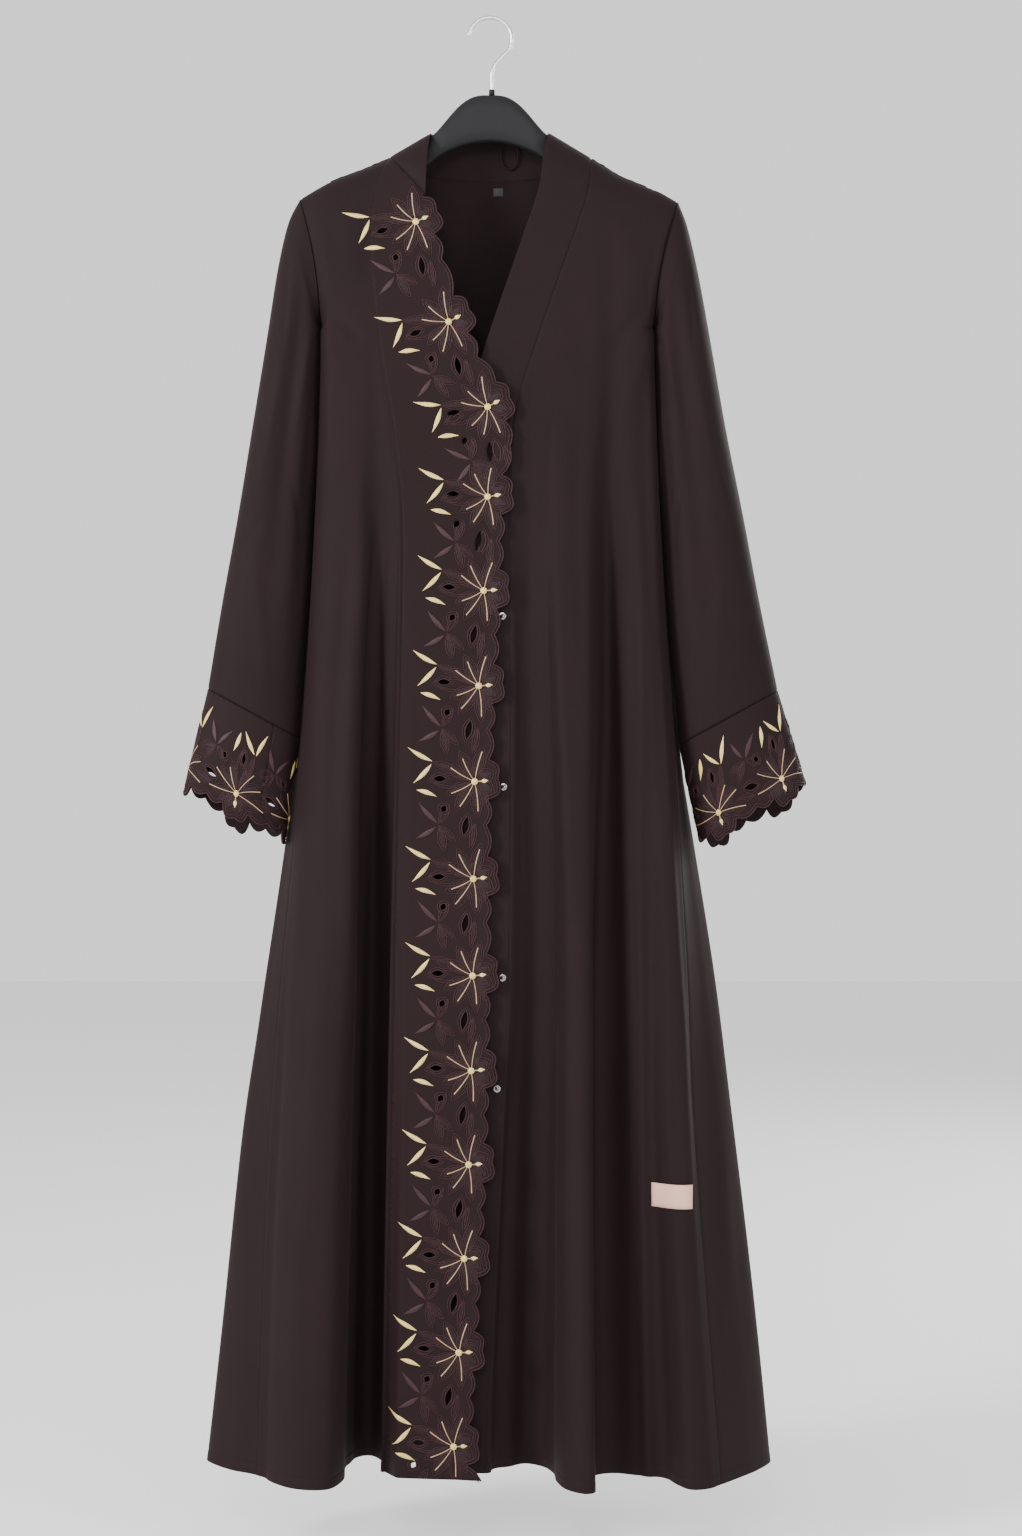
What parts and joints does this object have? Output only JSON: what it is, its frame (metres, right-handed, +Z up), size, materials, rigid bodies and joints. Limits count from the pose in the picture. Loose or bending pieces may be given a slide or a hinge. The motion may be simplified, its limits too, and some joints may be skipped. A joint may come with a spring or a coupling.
{
  "type": "abaya on hanger",
  "caption": "Open long-sleeved abaya in dark crepe, hung on a black hanger, with a scalloped cutwork border down one front edge and matching scalloped cuffs.",
  "frame": {"origin": "inner top of the hanger's hook, where a rail carries it", "axes": "+Z up along the garment's length, -Y out of its front, +X towards the wearer's left"},
  "size_m": [0.6508, 0.181, 1.5222],
  "materials": {
    "crepe": "matt crepe",
    "cutwork": "embroidered crepe",
    "label_cloth": "woven satin",
    "grey_tape": "woven tape",
    "snap_metal": "polished",
    "hanger_plastic": "satin moulded",
    "hook_steel": "satin"
  },
  "bodies": {
    "root": {"front_right": "crepe", "front_left": "crepe", "back": "crepe", "neck_band": "crepe", "front_border": "cutwork", "sleeve_right": "crepe", "cuff_right_1": "cutwork", "cuff_right_2": "cutwork", "sleeve_left": "crepe", "cuff_left_1": "cutwork", "cuff_left_2": "cutwork", "hanging_loop": "crepe", "size_label": "grey_tape", "side_patch": "label_cloth", "snap_1": "snap_metal", "snap_2": "snap_metal", "snap_3": "snap_metal", "snap_4": "snap_metal", "hanger_body": "hanger_plastic", "hanger_ferrule": "hanger_plastic", "hanger_hook": "hook_steel"}
  },
  "joints": []
}
